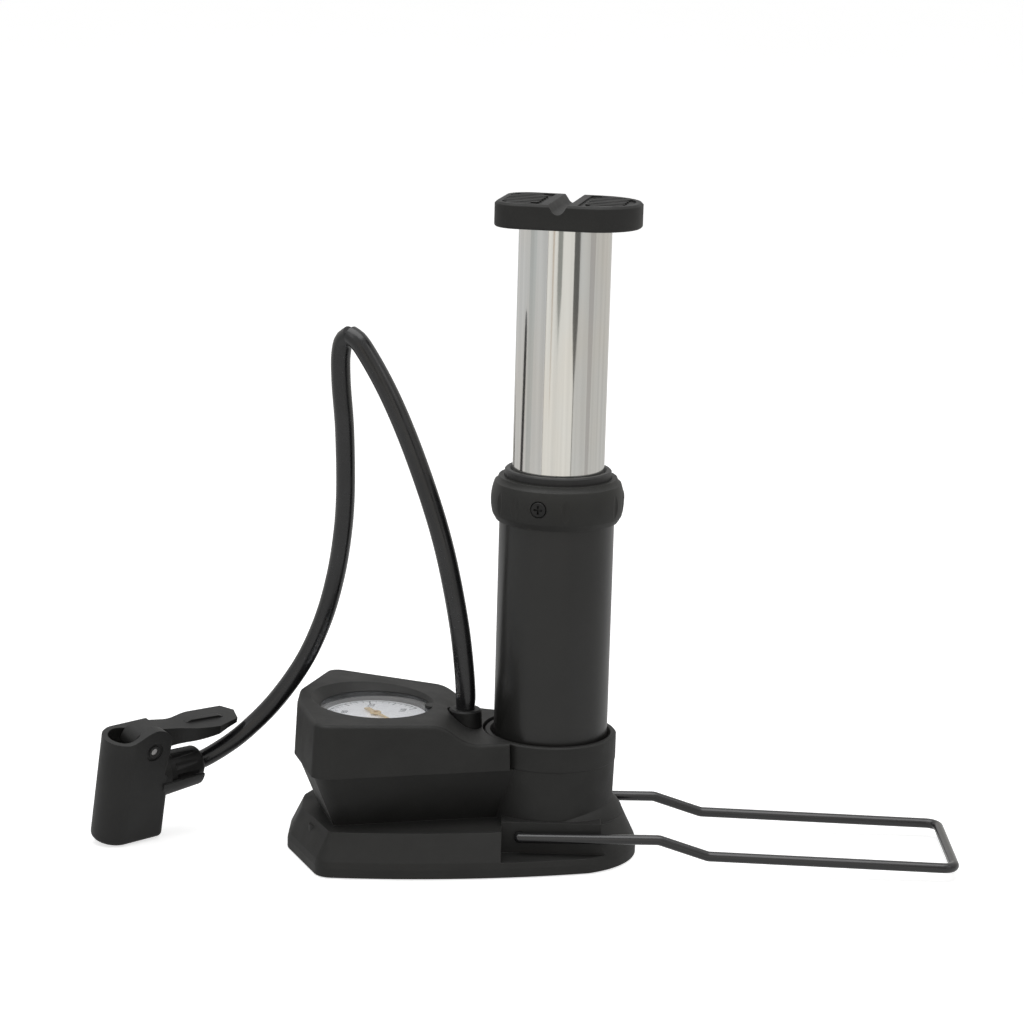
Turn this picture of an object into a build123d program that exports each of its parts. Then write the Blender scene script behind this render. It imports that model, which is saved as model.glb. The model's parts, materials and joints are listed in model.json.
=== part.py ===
from build123d import *
import os
from math import cos, radians, sin, sqrt

# Compact foot-operated floor pump, all sizes in millimetres.
# Frame: origin on the floor under the barrel's axis, +Z up, +X towards the folding wire bail,
# -X towards the gauge end. The base is symmetric about the XZ plane.

# ---- driving dimensions -------------------------------------------------------------------
RUN_FIT = 0.06        # radial clearance of sliding and turning fits
SEAT_FIT = 0.03       # radial clearance of pieces that are seated and never move

BARREL_R = 21.0
BARREL_WALL = 1.5
BARREL_BOTTOM = 20.0
BARREL_TOP = 141.0
TUBE_R = 16.75        # chrome plunger tube
TUBE_WALL = 1.2
TUBE_BOTTOM = 111.0
TUBE_TOP = 236.0
STROKE = 84.0
PUMP_R = 11.0         # fixed pump cylinder
PUMP_BORE_R = 9.5
PUMP_TOP = 134.0
ROD_R = 4.0

FLOOR = 0.0
SKIRT_BOTTOM = 0.5
SKIRT_TOP = 16.0
SKIRT_SIDE = ((0.5, 0), (3.8, 0), (6.2, 0.5), (16.0, 5.2))   # height and inset of the skirt's side
PARTING = 36.5        # height of the joint between base housing and gauge cover
WALL = 2.4
WAIST_TAPER = 23.0
SOCKET_R = 24.4
SOCKET_TOP = 46.0
FLARE_X = 4.0         # the flared root of the socket is set towards the nose
PLATE_BOTTOM = 1.5
PLATE_TOP = 3.5
DECK_BOTTOM = 34.0
BLOCK_TOP = 26.0      # top of the valve block, where the pump cylinder and spring stand

COVER_TOP_LEFT = 57.0
COVER_TOP_RIGHT = 54.5
SHELF_TOP = 46.6      # low shelf of the cover round the hose boot
GAUGE_X = -64.8
GAUGE_R = 20.5
LENS_TOP = 53.3
BOOT_X = -31.6
BOOT_TOP = 53.3
MANIFOLD_Z = 12.0

WIRE_R = 1.85
BAIL_HALF = 26.5
BAIL_PIVOT = (-10.5, 12.4)
NOTCH_WALL = 24.5
NOTCH_FLOOR = 6.0
NOTCH_LEFT = -17.0

COLLAR_BOTTOM = 126.0
COLLAR_TOP = 142.0
SCREW_Z = 134.0
SCREW_ANGLES = (-107.0, 13.0, 133.0)

PEDAL_BOTTOM = 233.5
PEDAL_TOP = 242.6
PEDAL_LENGTH = 51.6
PEDAL_SHIFT = 1.7     # the groove sits a little off the middle
PEDAL_DEPTH = 39.0
INSERT_TOP = 238.4     # top of the threaded insert under the pedal's groove
PEDAL_TURN = -10.0    # the pedal rests turned a little about the plunger's axis

HOSE_R = 3.5
HOSE_BORE_R = 2.0


def ring(inner, outer, bottom, top, centre=(0, 0), mode=Mode.ADD):
    """A plain ring, or a disc where inner is 0, standing on the level plane at bottom."""
    with BuildSketch(Plane.XY.offset(bottom)) as profile:
        with Locations(centre):
            Circle(outer)
            if inner:
                Circle(inner, mode=Mode.SUBTRACT)
    extrude(profile.sketch, amount=top - bottom, mode=mode)


# Footprint of the base: blunt gauge end, gently curved sides, round nose at the barrel.
with BuildSketch() as floor_plan:
    with BuildLine():
        ThreePointArc((33.0, 0), (28.2, 17.1), (15.0, 29.3))
        ThreePointArc((15.0, 29.3), (-35, 39.9), (-82.5, 42.0))
        Polyline((-82.5, 42.0), (-96.4, 8), (-96.4, 0))
        mirror(about=Plane.XZ)
    make_face()
    fillet(floor_plan.vertices().filter_by_position(Axis.X, -97, -95), 12)
    fillet(floor_plan.vertices().filter_by_position(Axis.X, -84, -81), 7)

# Plan of the gauge cover: as wide as the base at the gauge end, narrowing to the barrel.
with BuildSketch() as cover_plan:
    with BuildLine():
        Polyline((-14.5, 0), (-14.5, 22.6), (-84.5, 41.3), (-94.2, 8), (-94.2, 0))
        mirror(about=Plane.XZ)
    make_face()
    fillet(cover_plan.vertices().filter_by_position(Axis.X, -95, -93), 12)
    fillet(cover_plan.vertices().filter_by_position(Axis.X, -86, -83), 6)


# Plan of the waist under the cover: the same gauge end, running on into the socket.
with BuildSketch() as waist_plan:
    with BuildLine():
        Polyline((12, 0), (12, 15.5), (-84.5, 41.3), (-94.2, 8), (-94.2, 0))
        mirror(about=Plane.XZ)
    make_face()
    fillet(waist_plan.vertices().filter_by_position(Axis.X, -95, -93), 12)
    fillet(waist_plan.vertices().filter_by_position(Axis.X, -86, -83), 6)


# ---- base ---------------------------------------------------------------------------------
with BuildPart() as skirt:
    for (bottom, bottom_inset), (top, top_inset) in zip(SKIRT_SIDE, SKIRT_SIDE[1:]):
        for height, inset in ((bottom, bottom_inset), (top, top_inset)):
            with BuildSketch(Plane.XY.offset(height)):
                add(floor_plan.sketch)
                if inset:
                    offset(amount=-inset)
        loft(ruled=True)

# solid web round the socket: it carries the bail's pivot holes and the notch floors
with BuildPart() as web:
    add(skirt.part)
    with BuildSketch(Plane.XY.offset(PLATE_TOP + 0.1)):
        with Locations((1.0, 0)):
            Rectangle(40, 90)
    extrude(amount=SKIRT_TOP, mode=Mode.INTERSECT)
    with BuildSketch(Plane.XY.offset(PLATE_TOP + 0.1)):
        with Locations((1.0, 0)):
            Rectangle(36.5, 2 * NOTCH_WALL)
    extrude(amount=17.6 - PLATE_TOP)

with BuildPart() as base_housing:
    add(skirt.part)
    for height, inset in ((SKIRT_BOTTOM, WALL), (SKIRT_TOP - WALL, WALL + 4.2)):
        with BuildSketch(Plane.XY.offset(height)):
            add(floor_plan.sketch)
            offset(amount=-inset)
    loft(ruled=True, mode=Mode.SUBTRACT)
    with BuildSketch(Plane.XY.offset(PARTING)):
        add(waist_plan.sketch)
        offset(amount=-1.0, kind=Kind.INTERSECTION)
    extrude(amount=-(PARTING - SKIRT_TOP + WALL), taper=WAIST_TAPER)
    with BuildSketch(Plane.XY.offset(DECK_BOTTOM)):
        add(cover_plan.sketch)
        offset(amount=-1.0 - 1.1 - WALL, kind=Kind.INTERSECTION)
    extrude(amount=-(DECK_BOTTOM - SKIRT_TOP + WALL + 0.5), taper=WAIST_TAPER, mode=Mode.SUBTRACT)
    # clear way for the air manifold between the waist's room and the socket
    with BuildSketch(Plane.XY.offset(PLATE_TOP)):
        with Locations((-30, 0)):
            Rectangle(26, 24)
    extrude(amount=DECK_BOTTOM - PLATE_TOP, mode=Mode.SUBTRACT)
    add(web.part)
    # socket with a draft, a step at the parting line and a flared root
    with BuildSketch(Plane.XZ):
        with BuildLine():
            Polyline(
                (0, PLATE_TOP + 0.1), (SOCKET_R - 1.2, PLATE_TOP + 0.1), (SOCKET_R - 0.7, 19.5),
                (SOCKET_R - 0.2, PARTING), (SOCKET_R, PARTING + 0.2), (SOCKET_R, SOCKET_TOP - 0.5),
                (SOCKET_R - 0.5, SOCKET_TOP), (0, SOCKET_TOP), (0, PLATE_TOP + 0.1),
            )
        make_face()
    revolve(axis=Axis.Z)
    # flared root of the socket, on the side of the nose
    flare_axis = Axis((FLARE_X, 0, 0), (0, 0, 1))
    with BuildSketch(Plane.XZ):
        with BuildLine():
            Line((FLARE_X, 14.5), (28.3, 14.5))
            Line((28.3, 14.5), (27.6, 16.5))
            RadiusArc((27.6, 16.5), (SOCKET_R - 1.0, 21.5), -9)
            Polyline((SOCKET_R - 1.0, 21.5), (FLARE_X, 21.5), (FLARE_X, 14.5))
        make_face()
    revolve(axis=flare_axis)
    # barrel and valve block bore, with a chamfered mouth
    ring(0, BARREL_R + SEAT_FIT, PLATE_TOP, SOCKET_TOP, mode=Mode.SUBTRACT)
    with BuildSketch(Plane.XZ):
        Polygon(
            (BARREL_R - 1, SOCKET_TOP - 2.6), (BARREL_R, SOCKET_TOP - 2.6),
            (BARREL_R + 1.4, SOCKET_TOP + 0.1), (BARREL_R - 1, SOCKET_TOP + 0.1),
            align=None,
        )
    revolve(axis=Axis.Z, mode=Mode.SUBTRACT)
    # notches for the bail's legs, open at the top and towards the nose
    for side in (-1, 1):
        with BuildSketch(Plane.XY.offset(NOTCH_FLOOR)):
            with Locations((NOTCH_LEFT + 30, side * (NOTCH_WALL + 15))):
                Rectangle(60, 30)
        extrude(amount=22, mode=Mode.SUBTRACT)
        pivot = Plane(origin=(BAIL_PIVOT[0], side * 19.5, BAIL_PIVOT[1]), z_dir=(0, side, 0))
        with BuildSketch(pivot):
            Circle(WIRE_R + RUN_FIT)
        extrude(amount=8, mode=Mode.SUBTRACT)
    # passages through the deck for gauge stem, hose barb and cover screws
    ring(0, 3.3, DECK_BOTTOM - 1, PARTING + 1, (GAUGE_X, 0), Mode.SUBTRACT)
    ring(0, 3.7, DECK_BOTTOM - 1, PARTING + 1, (BOOT_X, 0), Mode.SUBTRACT)
    COVER_SCREWS = ((-78, 29), (-78, -29), (-41, 21), (-41, -21))
    for spot in COVER_SCREWS:
        ring(0, 1.6, DECK_BOTTOM - 1, PARTING + 1, spot, Mode.SUBTRACT)
    # hole through the socket wall for the manifold's spigot
    with BuildSketch(Plane(origin=(-30, 0, MANIFOLD_Z), z_dir=(1, 0, 0))):
        Circle(2.7)
    extrude(amount=12, mode=Mode.SUBTRACT)
    # bosses for the bottom plate's screws
    PLATE_SCREWS = ((-84, 21), (-84, -21), (-28, 27.5), (-28, -27.5))
    for spot in PLATE_SCREWS:
        ring(0, 3.6, PLATE_TOP + 0.1, SKIRT_TOP - WALL + 0.4, spot)
        ring(0, 1.4, PLATE_TOP, SKIRT_TOP - WALL - 1.5, spot, Mode.SUBTRACT)

with BuildPart() as bottom_plate:
    with BuildSketch(Plane.XY.offset(PLATE_BOTTOM)):
        add(floor_plan.sketch)
        offset(amount=-WALL - 1.2)
    extrude(amount=PLATE_TOP - PLATE_BOTTOM)
    for spot in PLATE_SCREWS:
        ring(0, 1.6, PLATE_BOTTOM - 1, PLATE_TOP + 1, spot, Mode.SUBTRACT)
        ring(0, 3.0, PLATE_BOTTOM - 1, PLATE_BOTTOM + 1.2, spot, Mode.SUBTRACT)

with BuildPart() as rubber_sole:
    with BuildSketch(Plane.XY.offset(FLOOR)):
        add(floor_plan.sketch)
        offset(amount=-WALL - 1.2)
    extrude(amount=PLATE_BOTTOM)
    for spot in PLATE_SCREWS:
        ring(0, 3.2, FLOOR - 1, PLATE_BOTTOM + 1, spot, Mode.SUBTRACT)
    # grip grooves across the underside, clear of the middle of the barrel end
    with BuildSketch(Plane.XY.offset(FLOOR)):
        with Locations(*[(x, 0) for x in range(-76, -30, 9)]):
            Rectangle(1.6, 60)
    extrude(amount=0.6, mode=Mode.SUBTRACT)

with BuildPart() as plate_screws:
    for spot in PLATE_SCREWS:
        ring(0, 2.8, PLATE_BOTTOM - 0.4, PLATE_BOTTOM + 1.15, spot)
        ring(0, 1.35, PLATE_BOTTOM + 1.1, SKIRT_TOP - WALL - 2.5, spot)
        ring(0, 1.1, PLATE_BOTTOM - 0.5, PLATE_BOTTOM + 0.4, spot, Mode.SUBTRACT)

with BuildPart() as cover_screws:
    for spot in COVER_SCREWS:
        ring(0, 2.7, DECK_BOTTOM - 2.0, DECK_BOTTOM - 0.02, spot)
        ring(0, 1.25, DECK_BOTTOM - 0.1, PARTING + 8, spot)
        ring(0, 1.0, DECK_BOTTOM - 2.1, DECK_BOTTOM - 1.1, spot, Mode.SUBTRACT)

# ---- gauge cover --------------------------------------------------------------------------
with BuildPart() as gauge_cover:
    with BuildSketch(Plane.XY.offset(PARTING + 0.05)):
        add(cover_plan.sketch)
        Circle(SOCKET_R + 0.25, mode=Mode.SUBTRACT)
    extrude(amount=24, taper=2.5)
    # top line: slopes gently down from the gauge end, then steps down to the low shelf
    with BuildSketch(Plane.XZ):
        with BuildLine():
            Polyline(
                (-43.5, COVER_TOP_RIGHT), (-97, COVER_TOP_LEFT + 0.2), (-97, 70), (0, 70), (0, SHELF_TOP),
            )
            Line((0, SHELF_TOP), (-25.0, SHELF_TOP))
            Spline((-25.0, SHELF_TOP), (-43.5, COVER_TOP_RIGHT), tangents=((-1, 0), (-1, 0.06)))
        make_face()
    extrude(amount=60, both=True, mode=Mode.SUBTRACT)
    rim = gauge_cover.faces().filter_by(Plane.XY, reverse=True).sort_by(Axis.Z)[-1].edges()
    fillet(rim.filter_by(lambda e: e.center().X < -44 and e.length > 3), 1.4)
    # hollow inside, in two steps below the top face and the shelf
    with BuildSketch(Plane.XY.offset(PARTING)):
        add(cover_plan.sketch)
        offset(amount=-WALL - 0.6, kind=Kind.INTERSECTION)
        with Locations((0, 0)):
            Rectangle(82, 100, mode=Mode.SUBTRACT)
    extrude(amount=51.0 - PARTING, mode=Mode.SUBTRACT)
    with BuildSketch(Plane.XY.offset(PARTING)):
        add(cover_plan.sketch)
        offset(amount=-WALL - 0.6, kind=Kind.INTERSECTION)
        Circle(SOCKET_R + 0.25 + WALL, mode=Mode.SUBTRACT)
        with Locations((-90, 0)):
            Rectangle(99, 100, mode=Mode.SUBTRACT)
    extrude(amount=SHELF_TOP - 2.2 - PARTING, mode=Mode.SUBTRACT)
    # ring round the gauge, screw bosses, and the flared gauge opening
    ring(0, GAUGE_R + 2.2, PARTING + 3, 52, (GAUGE_X, 0))
    for spot in COVER_SCREWS:
        ring(0, 3.5, PARTING + 0.05, 51.5, spot)
        ring(0, 1.3, PARTING, PARTING + 9, spot, Mode.SUBTRACT)
    ring(0, GAUGE_R + SEAT_FIT, PARTING, LENS_TOP, (GAUGE_X, 0), Mode.SUBTRACT)
    with BuildSketch(Plane.XY.offset(LENS_TOP - 0.3)):
        with Locations((GAUGE_X, 0)):
            Circle(GAUGE_R - 0.4)
    with BuildSketch(Plane.XY.offset(COVER_TOP_LEFT + 0.4)):
        with Locations((GAUGE_X, 0)):
            Ellipse(GAUGE_R + 4.0, GAUGE_R + 6.2)
    loft(mode=Mode.SUBTRACT)
    ring(0, 2.6, LENS_TOP - 0.01, 54.3, (GAUGE_X + GAUGE_R + 0.2, 0))
    # pocket round the foot of the hose boot, and the hole for its neck
    ring(0, 6.8, SHELF_TOP + 0.02, 60, (BOOT_X, 0), Mode.SUBTRACT)
    ring(0, 5.5, PARTING, 60, (BOOT_X, 0), Mode.SUBTRACT)

# ---- barrel, collar and guide bush --------------------------------------------------------
with BuildPart() as barrel_tube:
    ring(BARREL_R - BARREL_WALL, BARREL_R, BARREL_BOTTOM, BARREL_TOP)
    for angle in SCREW_ANGLES:
        spoke = Plane(
            origin=(0, 0, SCREW_Z), z_dir=(cos(radians(angle)), sin(radians(angle)), 0)
        )
        with BuildSketch(spoke):
            Circle(1.55)
        extrude(amount=30, mode=Mode.SUBTRACT)

with BuildPart() as guide_collar:
    with BuildSketch(Plane.XZ):
        with BuildLine():
            Polyline((BARREL_R + SEAT_FIT, BARREL_TOP + 0.05), (BARREL_R + SEAT_FIT, COLLAR_BOTTOM),
                     (22.3, COLLAR_BOTTOM), (23.6, COLLAR_BOTTOM + 2.2))
            ThreePointArc((23.6, COLLAR_BOTTOM + 2.2), (24.25, 134.4), (23.1, COLLAR_TOP - 2.0))
            RadiusArc((23.1, COLLAR_TOP - 2.0), (21.6, COLLAR_TOP), 3.2)
            Polyline((21.6, COLLAR_TOP), (19.55, COLLAR_TOP), (19.55, BARREL_TOP + 0.05),
                     (BARREL_R + SEAT_FIT, BARREL_TOP + 0.05))
        make_face()
    revolve(axis=Axis.Z)
    for angle in SCREW_ANGLES:
        out = (cos(radians(angle)), sin(radians(angle)), 0)
        with BuildSketch(Plane(origin=(0, 0, SCREW_Z), z_dir=out)):
            Circle(1.6)
        extrude(amount=30, mode=Mode.SUBTRACT)
        with BuildSketch(Plane(origin=(0, 0, SCREW_Z), z_dir=out).offset(22.4)):
            Circle(3.0)
        extrude(amount=8, mode=Mode.SUBTRACT)
    # shallow flutes mark off a pad round each screw
    for angle in SCREW_ANGLES:
        for flute in (angle - 23, angle + 24, angle + 77):
            ring(0, 2.6, COLLAR_BOTTOM - 1, COLLAR_TOP + 1,
                 (26.4 * cos(radians(flute)), 26.4 * sin(radians(flute))), Mode.SUBTRACT)

with BuildPart() as guide_bush:
    with BuildSketch(Plane.XZ):
        with BuildLine():
            Polyline(
                (TUBE_R + RUN_FIT, 127.5), (BARREL_R - BARREL_WALL - SEAT_FIT, 127.5),
                (BARREL_R - BARREL_WALL - SEAT_FIT, 144.3), (19.0, 144.8), (17.7, 144.8),
                (TUBE_R + RUN_FIT, 143.6), (TUBE_R + RUN_FIT, 127.5),
            )
        make_face()
    revolve(axis=Axis.Z)
    for angle in SCREW_ANGLES:
        out = (cos(radians(angle)), sin(radians(angle)), 0)
        with BuildSketch(Plane(origin=(0, 0, SCREW_Z), z_dir=out).offset(17.9)):
            Circle(1.4)
        extrude(amount=4, mode=Mode.SUBTRACT)

with BuildPart() as collar_screws:
    for angle in SCREW_ANGLES:
        out = Plane(origin=(0, 0, SCREW_Z), z_dir=(cos(radians(angle)), sin(radians(angle)), 0))
        with BuildSketch(out.offset(18.0)):
            Circle(1.35)
        extrude(amount=4.6)
        with BuildSketch(out.offset(22.42)):
            Circle(2.75)
        extrude(amount=2.2)
        outer_face = collar_screws.faces().sort_by(Axis(out.origin, out.z_dir))[-1]
        fillet(outer_face.edges(), 0.5)
        with BuildSketch(out.offset(23.6)):
            Rectangle(3.2, 0.7)
            Rectangle(0.7, 3.2)
        extrude(amount=2, mode=Mode.SUBTRACT)

# ---- air works in the base ----------------------------------------------------------------
BALL_R = 2.5
SEAT_R = 1.5
CHAMBER_TOP = 17.0
BALL_Z = CHAMBER_TOP - sqrt(BALL_R**2 - SEAT_R**2) - 0.05

with BuildPart() as valve_block:
    ring(0, BARREL_R - SEAT_FIT, PLATE_TOP + 0.05, BARREL_BOTTOM - 0.05)
    ring(0, BARREL_R - BARREL_WALL - SEAT_FIT, BARREL_BOTTOM - 0.1, BLOCK_TOP)
    ring(0, PUMP_R + SEAT_FIT, 22.0, BLOCK_TOP + 1, mode=Mode.SUBTRACT)
    ring(0, SEAT_R, CHAMBER_TOP - 1, BLOCK_TOP, mode=Mode.SUBTRACT)
    ring(0, 3.0, 6.0, CHAMBER_TOP, mode=Mode.SUBTRACT)
    ring(0, 4.0, PLATE_TOP, 7.5, mode=Mode.SUBTRACT)
    with BuildSketch(Plane(origin=(0, 0, MANIFOLD_Z), z_dir=(-1, 0, 0))):
        Circle(1.2)
    extrude(amount=22, mode=Mode.SUBTRACT)
    with BuildSketch(Plane(origin=(-16, 0, MANIFOLD_Z), z_dir=(-1, 0, 0))):
        Circle(2.5 + SEAT_FIT)
    extrude(amount=6, mode=Mode.SUBTRACT)

with BuildPart() as valve_plug:
    ring(0, 4.0 - SEAT_FIT, PLATE_TOP + 0.05, 7.4)
    ring(0, 1.4, PLATE_TOP, 5.0, mode=Mode.SUBTRACT)

with BuildPart() as check_ball:
    with Locations((0, 0, BALL_Z)):
        Sphere(BALL_R)

with BuildPart() as check_spring:
    SPRING_BOTTOM = 7.75
    SPRING_HEIGHT = BALL_Z - 2.22 - SPRING_BOTTOM
    with BuildLine():
        coil = Helix(
            pitch=SPRING_HEIGHT / 4.5, height=SPRING_HEIGHT, radius=1.7, center=(0, 0, SPRING_BOTTOM)
        )
    with BuildSketch(Plane(origin=coil @ 0, z_dir=coil % 0)):
        Circle(0.25)
    sweep(is_frenet=True)

with BuildPart() as cylinder_gasket:
    ring(PUMP_BORE_R, PUMP_R, 22.05, 23.0)

with BuildPart() as pump_cylinder:
    ring(PUMP_BORE_R, PUMP_R, 23.05, PUMP_TOP)
    chamfer(pump_cylinder.edges().group_by(Axis.Z)[-1].sort_by(SortBy.RADIUS)[0], 0.5)

with BuildPart() as air_manifold:
    with BuildSketch(Plane.XY.offset(MANIFOLD_Z - 4)):
        with Locations(((GAUGE_X + BOOT_X) / 2 + 1.2, 0)):
            Rectangle(BOOT_X - GAUGE_X + 9.8, 8)
    extrude(amount=8)
    fillet(air_manifold.edges().filter_by(Axis.Z), 1.5)
    with BuildSketch(Plane(origin=(-26, 0, MANIFOLD_Z), z_dir=(1, 0, 0))):
        Circle(2.5)
    extrude(amount=9.9)
    with BuildSketch(Plane(origin=(GAUGE_X, 0, MANIFOLD_Z), z_dir=(1, 0, 0))):
        Circle(1.2)
    extrude(amount=60, mode=Mode.SUBTRACT)
    for x in (GAUGE_X, BOOT_X):
        ring(0, 1.2, MANIFOLD_Z, 20, (x, 0), Mode.SUBTRACT)
        ring(0, 2.5 + SEAT_FIT, MANIFOLD_Z + 1.8, 20, (x, 0), Mode.SUBTRACT)

with BuildPart() as gauge_stem:
    ring(1.0, 2.5, MANIFOLD_Z + 1.85, MANIFOLD_Z + 4.1, (GAUGE_X, 0))
    ring(1.0, 3.2, MANIFOLD_Z + 4.05, 38.0, (GAUGE_X, 0))
    with BuildSketch(Plane.XY.offset(MANIFOLD_Z + 4.05)):
        with Locations((GAUGE_X, 0)):
            RegularPolygon(4.4, 6)
            Circle(3.0, mode=Mode.SUBTRACT)
    extrude(amount=4)

with BuildPart() as hose_barb:
    ring(0.9, 2.5, MANIFOLD_Z + 1.85, MANIFOLD_Z + 4.1, (BOOT_X, 0))
    ring(0.9, 3.6, MANIFOLD_Z + 4.05, 38.5, (BOOT_X, 0))
    ring(0.9, 1.7, 38.4, 50.0, (BOOT_X, 0))
    for z in (40.5, 44.0, 47.5):
        with BuildSketch(Plane.XY.offset(z)):
            with Locations((BOOT_X, 0)):
                Circle(HOSE_BORE_R - SEAT_FIT)
                Circle(1.0, mode=Mode.SUBTRACT)
        extrude(amount=1.6, taper=8)

# ---- gauge movement -----------------------------------------------------------------------
DIAL_Z = 49.4
NEEDLE_Z = 50.5
NEEDLE_ANGLE = -57.0  # points at zero while no pressure is in the pump

with BuildPart() as gauge_case:
    ring(0, GAUGE_R - 0.2, 38.05, LENS_TOP - 1.7, (GAUGE_X, 0))
    ring(0, GAUGE_R - 1.3, 39.5, 60, (GAUGE_X, 0), Mode.SUBTRACT)
    ring(0, GAUGE_R - 2.4, 37, 60, (GAUGE_X, 0), Mode.SUBTRACT)
    ring(0, GAUGE_R - 1.3, 38.05, 39.5, (GAUGE_X, 0))
    ring(0, 1.0, 37, 41, (GAUGE_X, 0), Mode.SUBTRACT)
    # dial ledge
    ring(GAUGE_R - 2.6, GAUGE_R - 1.2, DIAL_Z - 1.2, DIAL_Z - 0.05, (GAUGE_X, 0))

with BuildPart() as gauge_socket:
    # block on the case floor that carries the coiled tube's fixed end and the arbor's bearing
    with BuildSketch(Plane.XY.offset(39.55)):
        with Locations((GAUGE_X, 0)):
            Rectangle(7, 7)
        with Locations((GAUGE_X + 6.5, 0)):
            Rectangle(9, 4)
    extrude(amount=2.6)
    ring(0, 0.8 + RUN_FIT, 39, 60, (GAUGE_X, 0), Mode.SUBTRACT)

with BuildPart() as bourdon_tube:
    with BuildSketch(Plane.XZ):
        with Locations((9.0, 44.3)):
            RectangleRounded(1.8, 3.8, 0.8)
            RectangleRounded(1.0, 3.0, 0.45, mode=Mode.SUBTRACT)
    revolve(axis=Axis.Z, revolution_arc=260)
    bourdon_tube.part = bourdon_tube.part.moved(Location((GAUGE_X, 0, 0)))

with BuildPart() as gauge_arbor:
    ring(0, 0.8, 39.7, NEEDLE_Z + 0.9, (GAUGE_X, 0))
    ring(0, 2.6, 42.3, 43.1, (GAUGE_X, 0))

with BuildPart() as gauge_dial:
    ring(1.3, GAUGE_R - 1.4, DIAL_Z, DIAL_Z + 0.5, (GAUGE_X, 0))

with BuildPart() as gauge_needle:
    needle_plane = Plane(
        origin=(GAUGE_X, 0, NEEDLE_Z), x_dir=(cos(radians(NEEDLE_ANGLE)), sin(radians(NEEDLE_ANGLE)), 0)
    )
    with BuildSketch(needle_plane):
        Circle(2.1)
        Polygon((-6.5, -1.1), (-6.5, 1.1), (0, 0.7), (14.5, 0.25), (14.5, -0.25), (0, -0.7), align=None)
        Circle(0.8 + 0.01, mode=Mode.SUBTRACT)
    extrude(amount=0.5)

with BuildPart() as gauge_lens:
    ring(0, GAUGE_R - SEAT_FIT, LENS_TOP - 1.65, LENS_TOP - 0.35, (GAUGE_X, 0))

# ---- plunger ------------------------------------------------------------------------------
with BuildPart() as plunger_tube:
    ring(TUBE_R - TUBE_WALL, TUBE_R, TUBE_BOTTOM, TUBE_TOP)
    ring(TUBE_R - 0.5, TUBE_R + 1.2, TUBE_BOTTOM, TUBE_BOTTOM + 1.2)

with BuildPart() as lower_guide_ring:
    ring(TUBE_R + RUN_FIT, BARREL_R - BARREL_WALL - RUN_FIT, TUBE_BOTTOM + 1.25, TUBE_BOTTOM + 12)
    chamfer(lower_guide_ring.edges().group_by(Axis.Z)[-1], 0.4)

with BuildPart() as top_plug:
    ring(0, TUBE_R - TUBE_WALL - SEAT_FIT, 222.0, TUBE_TOP)
    ring(0, 9.5, 221, 228, mode=Mode.SUBTRACT)
    ring(0, 6.5, 221.5, 229)
    ring(0, ROD_R + 0.02, 221, 224.0, mode=Mode.SUBTRACT)
    ring(0, 3.0, 221, TUBE_TOP + 1, mode=Mode.SUBTRACT)

PISTON_BOTTOM = 112.5
with BuildPart() as piston_rod:
    ring(0, ROD_R, PISTON_BOTTOM + 6.0, 223.95)
    ring(0, 2.95, 223.9, INSERT_TOP)
    ring(0, 2.5, PISTON_BOTTOM + 0.5, PISTON_BOTTOM + 6.1)

with BuildPart() as piston_head:
    ring(0, PUMP_BORE_R - RUN_FIT, PISTON_BOTTOM, PISTON_BOTTOM + 10)
    ring(7.4, PUMP_BORE_R + 1, PISTON_BOTTOM + 3.5, PISTON_BOTTOM + 6.5, mode=Mode.SUBTRACT)
    ring(0, ROD_R + 0.02, PISTON_BOTTOM + 5.98, PISTON_BOTTOM + 11, mode=Mode.SUBTRACT)
    ring(0, 2.52, PISTON_BOTTOM - 1, PISTON_BOTTOM + 7, mode=Mode.SUBTRACT)

with BuildPart() as piston_seal:
    ring(7.45, PUMP_BORE_R - 0.02, PISTON_BOTTOM + 3.6, PISTON_BOTTOM + 6.4)
    fillet(piston_seal.edges(), 0.9)

with BuildPart() as piston_nut:
    with BuildSketch(Plane.XY.offset(PISTON_BOTTOM - 0.02)):
        RegularPolygon(4.5, 6)
        Circle(2.51, mode=Mode.SUBTRACT)
    extrude(amount=-2.0)
piston_rod.part = piston_rod.part.fuse(
    Pos(0, 0, PISTON_BOTTOM - 1.0) * Cylinder(2.5, 3.2)
).clean()

SPRING_R = 13.25
SPRING_WIRE = 1.0
SPRING_FOOT = BLOCK_TOP + SPRING_WIRE + 0.05
with BuildPart() as return_spring:
    spring_length = 222.0 - 0.05 - SPRING_WIRE - SPRING_FOOT
    with BuildLine():
        helix = Helix(
            pitch=spring_length / 22, height=spring_length, radius=SPRING_R, center=(0, 0, SPRING_FOOT)
        )
    with BuildSketch(Plane(origin=helix @ 0, z_dir=helix % 0)):
        Circle(SPRING_WIRE)
    sweep(is_frenet=True)

# ---- foot pedal ---------------------------------------------------------------------------
PEDAL = Plane(
    origin=(0, 0, PEDAL_BOTTOM), x_dir=(cos(radians(PEDAL_TURN)), sin(radians(PEDAL_TURN)), 0)
)
GROOVE_R = 2.6
with BuildSketch() as pedal_plan:
    with Locations((PEDAL_SHIFT, 0)):
        Rectangle(PEDAL_LENGTH, PEDAL_DEPTH)
    fillet(pedal_plan.vertices().group_by(Axis.X)[0], 9.5)
    fillet(pedal_plan.vertices().group_by(Axis.X)[-1], 18.5)

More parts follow.
